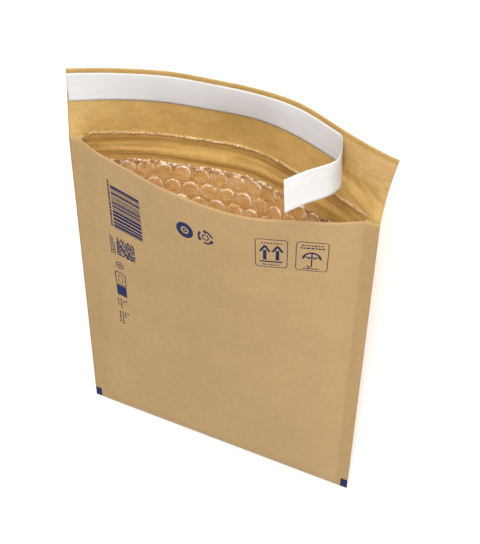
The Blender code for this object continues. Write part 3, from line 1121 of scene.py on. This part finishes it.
class ENVELOPE_OT_lining(bpy.types.Operator):
    """Make the bubble lining: flat film, bubbles on both panels and the welded edge"""

    bl_idname = "envelope.lining"
    bl_label = "Bubble Lining"

    def execute(self, context):
        film = film_material("Film Flat", 0.80, 0.45)
        flat = finish_piece("lining_film", film_sheets(), (film,))
        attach(flat, "root")
        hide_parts("bubble_lining")
        dome = film_material("Film Bubble", 0.16, 0.50, 240.0)
        for name, side in (("bubbles_front", 1), ("bubbles_back", -1)):
            piece = grow_bubbles(name, side, dome)
            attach(piece, "root")
            piece.visible_shadow = False
        # The weld's crinkles get painted highlights.
        edge = film_material("Film Weld", 0.40, 1.0, 480.0, WELD_HIGHLIGHT)
        weld = finish_piece("film_weld", weld_sheets(), (edge,))
        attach(weld, "root")
        return {"FINISHED"}


# --------------------------------------------------------------------------------------------
# Adhesive and release liner
# --------------------------------------------------------------------------------------------


def flap_grid(start, end, low, high, across, up, wander=0.0):
    """Grid of points of the flap's inside between two places along it and two rises."""
    s = sizes()
    rise = np.linspace(low, high, up)[:, None] + 0.0 * np.linspace(0, 1, across)[None, :]
    aim = np.linspace(start, end, across)[None, :] + 0.0 * rise
    share = flap_share(aim, rise)
    if wander:
        edge = wander * ripple(aim, 0.0 * aim, 0.012, 41)
        rise = rise + edge * np.linspace(-1.0, 1.0, up)[:, None]
    x, u, n = flap_place(share, rise)
    return x, u, n + s.paper


def adhesive_sheets():
    """The band of adhesive across the flap, with a slightly wavy edge."""
    sheets = Sheets()
    x, u, n = flap_grid(*BAND, 200, BAND_ROWS, 0.0004)
    up = np.linspace(0.0, 1.0, BAND_ROWS)[:, None]
    low_edge = 0.00022 * np.exp(-((up - 0.03) / 0.05) ** 2)
    slab(sheets, x, u, n + low_edge, 0.00002, BAND_THICK)
    return sheets


def curl_steps(heading):
    """Stations along the liner's free part: x and n run, drop, lean and flare of each."""
    s = sizes()
    count = 72
    step = s.liner_free / count
    over, forward, path = 0.0, 0.0, []
    for k in range(count):
        along = (k + 0.5) * step
        angle = heading + math.radians(CURL_TURN) * (1.0 - math.exp(-along / CURL_RUN))
        over += step * math.cos(angle)
        forward += step * math.sin(angle)
        drop = CURL_SAG * smooth(0.0, 0.017, along) - CURL_RISE * smooth(0.02, 0.058, along)
        lean = math.radians(CURL_LEAN) * smooth(0.010, 0.045, along)
        flare = CURL_FLARE * smooth(0.0, 0.016, along) * (1.0 - smooth(0.022, 0.045, along))
        path.append((over, forward, float(drop), float(lean), float(flare)))
    return np.array(path).T[:, None, :]


def liner_sheets():
    """The release liner: stuck down to its bend, then free, curled forward and leaning back."""
    s = sizes()
    sheets = Sheets()
    x, u, n = flap_grid(LINER_LEFT, s.liner_bend, s.liner_low, s.liner_high, 150, LINER_ROWS)
    n = n + LINER_LIFT
    heading = math.atan2((n[:, -1] - n[:, -2]).mean(), (x[:, -1] - x[:, -2]).mean())
    over, forward, drop, lean, flare = curl_steps(heading)
    rise = u[:, -1:] - u[0, -1]
    flare = flare * (1.0 - rise / rise.max())
    free_x = x[:, -1:] + over - LEAN_WAY[0] * np.sin(lean) * rise + flare
    free_u = u[0, -1] + np.cos(lean) * rise - drop
    free_n = n[:, -1:] + forward - LEAN_WAY[1] * np.sin(lean) * rise
    x, u, n = (np.concatenate(pair, 1) for pair in ((x, free_x), (u, free_u), (n, free_n)))
    steps = np.hypot(np.diff(x[LINER_ROWS // 2]), np.diff(n[LINER_ROWS // 2]))
    run = np.concatenate([[0.0], np.cumsum(steps)])[None, :]
    wide = np.linspace(s.liner_low, s.liner_high, LINER_ROWS)[:, None]
    slab(sheets, x, u, n, 0.0, LINER_THICK, 1.0, run + 0.0 * wide, wide + 0.0 * run, near_slot=1)
    return sheets


class ENVELOPE_OT_closure(bpy.types.Operator):
    """Make the adhesive band and its half-peeled release liner"""

    bl_idname = "envelope.closure"
    bl_label = "Adhesive and Liner"

    def execute(self, context):
        band = finish_piece("adhesive_band", adhesive_sheets(), (glue_material(),))
        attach(band, "root")
        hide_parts("adhesive_strip")
        sides = (liner_material("Liner Back", 0.90, 0.45),
                 liner_material("Liner Silicone", 0.87, 0.22))
        liner = finish_piece("peeled_liner", liner_sheets(), sides)
        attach(liner, "root")
        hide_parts("release_liner")
        return {"FINISHED"}


# --------------------------------------------------------------------------------------------
# Print
# --------------------------------------------------------------------------------------------


class Print:
    """Fields of ink on the front, drawn flat in millimetres (x, u)."""

    def __init__(self):
        self.sheets = Sheets()

    def patch(self, xs, us):
        """A four-cornered field given as grids of flat places in millimetres."""
        x, u = np.asarray(xs, float) * MM, np.asarray(us, float) * MM
        slab(self.sheets, x, u, front_depth(x, u), INK_LIFT, INK_THICK)

    def bar(self, x0, u0, x1, u1):
        """A straight-sided field along the axes."""
        across = max(2, int(abs(x1 - x0) / 2.0) + 2)
        up = max(2, int(abs(u1 - u0) / 4.0) + 2)
        xs, us = np.meshgrid(np.linspace(x0, x1, across), np.linspace(u0, u1, up))
        self.patch(xs, us)

    def stroke(self, points, width):
        """A line of constant width through points."""
        for (x0, u0), (x1, u1) in zip(points, points[1:]):
            length = math.hypot(x1 - x0, u1 - u0)
            if length < 1e-6:
                continue
            side = np.array([-(u1 - u0), x1 - x0]) / length * width / 2
            count = max(2, int(length / 2.0) + 2)
            t = np.linspace(0.0, 1.0, count)[None, :]
            s = np.array([-1.0, 1.0])[:, None]
            self.patch(x0 + (x1 - x0) * t + side[0] * s, u0 + (u1 - u0) * t + side[1] * s)

    def arc(self, cx, cu, radius, width, start=0.0, end=360.0, squash=1.0):
        """A ring or a piece of one."""
        turns = np.radians(np.linspace(start, end, max(6, int(abs(end - start) / 12)) + 1))[None, :]
        radii = np.array([radius + width / 2, radius - width / 2])[:, None]
        self.patch(cx + radii * np.cos(turns), cu + squash * radii * np.sin(turns))

    def disc(self, cx, cu, radius):
        """A filled disc."""
        self.arc(cx, cu, radius / 2, radius)

    def frame(self, x0, u0, x1, u1, radius, width):
        """A rounded rectangle's outline."""
        half = width / 2
        for u in (u0, u1):
            self.bar(x0 + radius, u - half, x1 - radius, u + half)
        for x in (x0, x1):
            self.bar(x - half, u0 + radius, x + half, u1 - radius)
        for cx, cu, start in ((x1 - radius, u1 - radius, 0), (x0 + radius, u1 - radius, 90),
                              (x0 + radius, u0 + radius, 180), (x1 - radius, u0 + radius, 270)):
            self.arc(cx, cu, radius, width, start, start + 90)

    def dashes(self, x, u, length, pick, size=0.9, upright=False):
        """A row of short dashes that stands where small print would be."""
        at = 0.0
        while at < length:
            run = min(pick.uniform(0.8, 2.6), length - at)
            if run > 0.3:
                if upright:
                    self.bar(x, u + at, x + size, u + at + run)
                else:
                    self.bar(x + at, u, x + at + run, u + size)
            at += run + 0.7


def bar_field(ink, pick):
    """A field of made-up bars with a column of dashes beside it."""
    left, right, top = -77.5, -50.5, 257.0
    u = 218.0
    while u < top - 0.5:
        thick = pick.choice((0.55, 0.8, 1.2, 1.8, 2.4))
        ink.bar(left, u, right, min(u + thick, top))
        u += thick + pick.choice((0.55, 0.8, 1.1, 1.6))
    ink.dashes(-80.3, 218.5, 42.0, pick, 1.6, upright=True)


def square_field(ink, pick):
    """A made-up pattern of small squares in a square field, with two lines of dashes."""
    left, low, side, count = -77.0, 191.5, 17.2, 21
    cell = side / count
    for row in range(count):
        run = 0
        for col in range(count + 1):
            filled = col < count and pick.random() < 0.58
            if filled:
                run += 1
            elif run:
                x1 = left + col * cell
                ink.bar(x1 - run * cell, low + row * cell, x1, low + (row + 1) * cell)
                run = 0
    for x, length in ((-83.4, 19.0), (-81.6, 17.0), (-79.8, 12.0)):
        ink.dashes(x, 190.5, length, pick, 1.0, upright=True)


def side_marks(ink, pick):
    """A ringed dot, a plain two-part tile and rows of dashes below it."""
    ink.arc(-76.6, 180.0, 3.4, 0.7)
    ink.arc(-76.6, 180.0, 1.3, 0.7)
    ink.frame(-82.0, 158.5, -72.6, 172.0, 1.8, 0.8)
    ink.frame(-79.2, 161.5, -75.4, 169.0, 1.4, 0.5)
    ink.bar(-82.0, 147.0, -72.6, 157.6)
    for k, length in enumerate((8.0, 11.0, 5.0, 2.0)):
        ink.dashes(-82.4 + 2.6 * k, 143.0 - length, length, pick, 1.1, upright=True)
    for k, length in enumerate((13.0, 14.5, 6.0, 2.0)):
        ink.dashes(-82.0 + 2.6 * k, 129.0 - length, length, pick, 1.1, upright=True)


def round_marks(ink):
    """Two generic round marks: a broad ring with a dot, and three arcs round a square."""
    ink.arc(-11.2, 250.5, 5.0, 3.6)
    ink.arc(-11.2, 250.5, 1.4, 1.0)
    for start in (15, 135, 255):
        ink.arc(5.2, 251.0, 5.3, 1.5, start, start + 78)
        turn = math.radians(start + 78)
        ink.disc(5.2 + 5.3 * math.cos(turn), 251.0 + 5.3 * math.sin(turn), 1.3)
    ink.arc(5.2, 251.0, 2.3, 0.8)


def handling_tiles(ink, pick):
    """Two framed tiles with generic handling signs: this way up, and keep dry."""
    ink.frame(40.6, 237.3, 60.8, 262.2, 2.0, 0.45)
    for x in (46.7, 54.7):
        ink.bar(x - 1.1, 243.8, x + 1.1, 252.5)
        ink.stroke(((x - 3.1, 251.2), (x, 256.6), (x + 3.1, 251.2)), 1.5)
    ink.bar(43.6, 241.6, 57.8, 242.7)
    ink.dashes(44.5, 258.6, 13.0, pick, 0.8)
    ink.dashes(45.0, 239.0, 12.0, pick, 0.7)

    ink.frame(66.2, 236.9, 86.2, 262.0, 2.0, 0.45)
    ink.dashes(69.5, 258.8, 13.5, pick, 0.8)
    ink.dashes(68.8, 256.3, 15.0, pick, 1.1)
    ink.arc(76.2, 247.2, 5.6, 1.2, 0, 180)
    for k in range(3):
        ink.arc(72.4 + 3.75 * k, 247.2, 1.85, 0.8, 0, 180)
    ink.bar(75.8, 241.4, 76.6, 253.6)
    ink.arc(74.9, 241.4, 1.3, 0.8, 180, 360)
    ink.dashes(71.0, 238.3, 10.5, pick, 0.9)


def corner_marks(ink):
    """The two solid marks at the ends of the bottom fold."""
    for side in (-1, 1):
        lows = np.linspace(0.5, 10.8, 7)[:, None]
        edge = half_width(lows * MM) / MM - 0.15
        across = np.linspace(0.0, 5.8, 5)[None, :]
        xs = side * (edge - across)
        ink.patch(xs if side < 0 else xs[:, ::-1], lows + 0.0 * across)


class ENVELOPE_OT_print(bpy.types.Operator):
    """Print the front: generic bars, squares, round marks, handling tiles and corner marks"""

    bl_idname = "envelope.print"
    bl_label = "Print"

    def execute(self, context):
        pick = random.Random(19)
        ink = Print()
        bar_field(ink, pick)
        square_field(ink, pick)
        side_marks(ink, pick)
        round_marks(ink)
        handling_tiles(ink, pick)
        corner_marks(ink)
        piece = finish_piece("printed_marks", ink.sheets, (ink_material(),), 0.0)
        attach(piece, "root")
        return {"FINISHED"}


# --------------------------------------------------------------------------------------------
# Stage
# --------------------------------------------------------------------------------------------


def floor_material():
    """A plain pale studio floor."""
    material, made, shader = new_material("Studio Floor")
    made.fill(shader, {
        "Base Color": rgba(colours().floor), "Roughness": 0.9, "Specular IOR Level": 0.1,
        "Emission Color": WHITE, "Emission Strength": FLOOR_GLOW})
    return material


def add_backdrop(reach):
    """A plain white dome round the floor, which lights nothing."""
    mesh = bpy.data.meshes.new("Backdrop")
    bm = bmesh.new()
    bmesh.ops.create_icosphere(bm, subdivisions=4, radius=reach)
    bmesh.ops.reverse_faces(bm, faces=bm.faces)
    bm.to_mesh(mesh)
    bm.free()
    backdrop = new_object("Backdrop", mesh)
    material, made, shader = new_material("Studio Backdrop")
    made.fill(shader, {
        "Base Color": BLACK, "Specular IOR Level": 0.0,
        "Emission Color": WHITE, "Emission Strength": BACKDROP_GLOW})
    mesh.materials.append(material)
    backdrop.visible_diffuse = False
    backdrop.visible_glossy = False
    backdrop.visible_transmission = False
    backdrop.visible_shadow = False


def add_lamp(name, place, aim, power, size):
    """A soft square lamp at a place, aimed at a point."""
    light = bpy.data.lights.new(name, "AREA")
    light.energy = power
    light.shape = "SQUARE"
    light.size = size
    lamp = new_object(name, light)
    lamp.location = place
    lamp.rotation_euler = (Vector(aim) - Vector(place)).to_track_quat("-Z", "Y").to_euler()


def add_camera():
    """Camera above the flap's side, at the envelope's own viewing angle."""
    turn = Matrix.Identity(4)
    for degrees, axis in CAMERA_TURNS:
        turn = turn @ Matrix.Rotation(math.radians(degrees), 4, axis)
    view = Matrix.Translation(Vector(CAMERA_OFFSET)) @ turn
    data = bpy.data.cameras.new("Camera")
    data.lens = CAMERA_LENS
    data.sensor_width = CAMERA_SENSOR
    data.clip_start = 0.01
    data.clip_end = 50.0
    camera = new_object("Camera", data)
    camera.matrix_world = floor_place() @ view.inverted()
    bpy.context.scene.camera = camera


class ENVELOPE_OT_stage(bpy.types.Operator):
    """Lay out the floor, the lamps, the sky and the camera"""

    bl_idname = "envelope.stage"
    bl_label = "Stage"

    def execute(self, context):
        scene = context.scene
        mesh = bpy.data.meshes.new("Floor")
        corners = ((-1, -1), (1, -1), (1, 1), (-1, 1))
        mesh.from_pydata([(x * FLOOR_REACH, y * FLOOR_REACH, 0) for x, y in corners], [],
                         [(0, 1, 2, 3)])
        floor = new_object("Floor", mesh)
        mesh.materials.append(floor_material())
        add_backdrop(FLOOR_REACH)

        world = bpy.data.worlds.new("Studio")
        scene.world = world
        world.use_nodes = True
        sky = world.node_tree.nodes["Background"]
        sky.inputs["Color"].default_value = WHITE
        sky.inputs["Strength"].default_value = SKY_STRENGTH
        for lamp in LAMPS:
            add_lamp(*lamp)
        scene.view_settings.view_transform = "Standard"
        scene.view_settings.look = "None"
        add_camera()
        return {"FINISHED"}


# --------------------------------------------------------------------------------------------
# Panel and running
# --------------------------------------------------------------------------------------------


STEPS = (ENVELOPE_OT_kraft, ENVELOPE_OT_lining, ENVELOPE_OT_closure, ENVELOPE_OT_print,
         ENVELOPE_OT_stage)


class ENVELOPE_PT_panel(bpy.types.Panel):
    """Sizes, colours and steps of the envelope"""

    bl_idname = "ENVELOPE_PT_panel"
    bl_label = "Padded Envelope"
    bl_space_type = "VIEW_3D"
    bl_region_type = "UI"
    bl_category = "Envelope"

    def draw(self, context):
        scene = context.scene
        for group in (scene.envelope_sizes, scene.envelope_lining, scene.envelope_colours):
            box = self.layout.box()
            for name in group.__annotations__:
                box.prop(group, name)
        for step in STEPS:
            self.layout.operator(step.bl_idname)


CLASSES = (EnvelopeSizes, LiningSizes, EnvelopeColours, *STEPS, ENVELOPE_PT_panel)


def register():
    """Register the classes and put the settings on the scene."""
    for made in CLASSES:
        bpy.utils.register_class(made)
    bpy.types.Scene.envelope_sizes = bpy.props.PointerProperty(type=EnvelopeSizes)
    bpy.types.Scene.envelope_lining = bpy.props.PointerProperty(type=LiningSizes)
    bpy.types.Scene.envelope_colours = bpy.props.PointerProperty(type=EnvelopeColours)


def unregister():
    """Take the settings and the classes away again."""
    del bpy.types.Scene.envelope_colours
    del bpy.types.Scene.envelope_lining
    del bpy.types.Scene.envelope_sizes
    for made in reversed(CLASSES):
        bpy.utils.unregister_class(made)


def main():
    """Build every piece and the stage."""
    register()
    bpy.ops.envelope.kraft()
    bpy.ops.envelope.lining()
    bpy.ops.envelope.closure()
    bpy.ops.envelope.print()
    bpy.ops.envelope.stage()


if __name__ == "__main__":
    main()
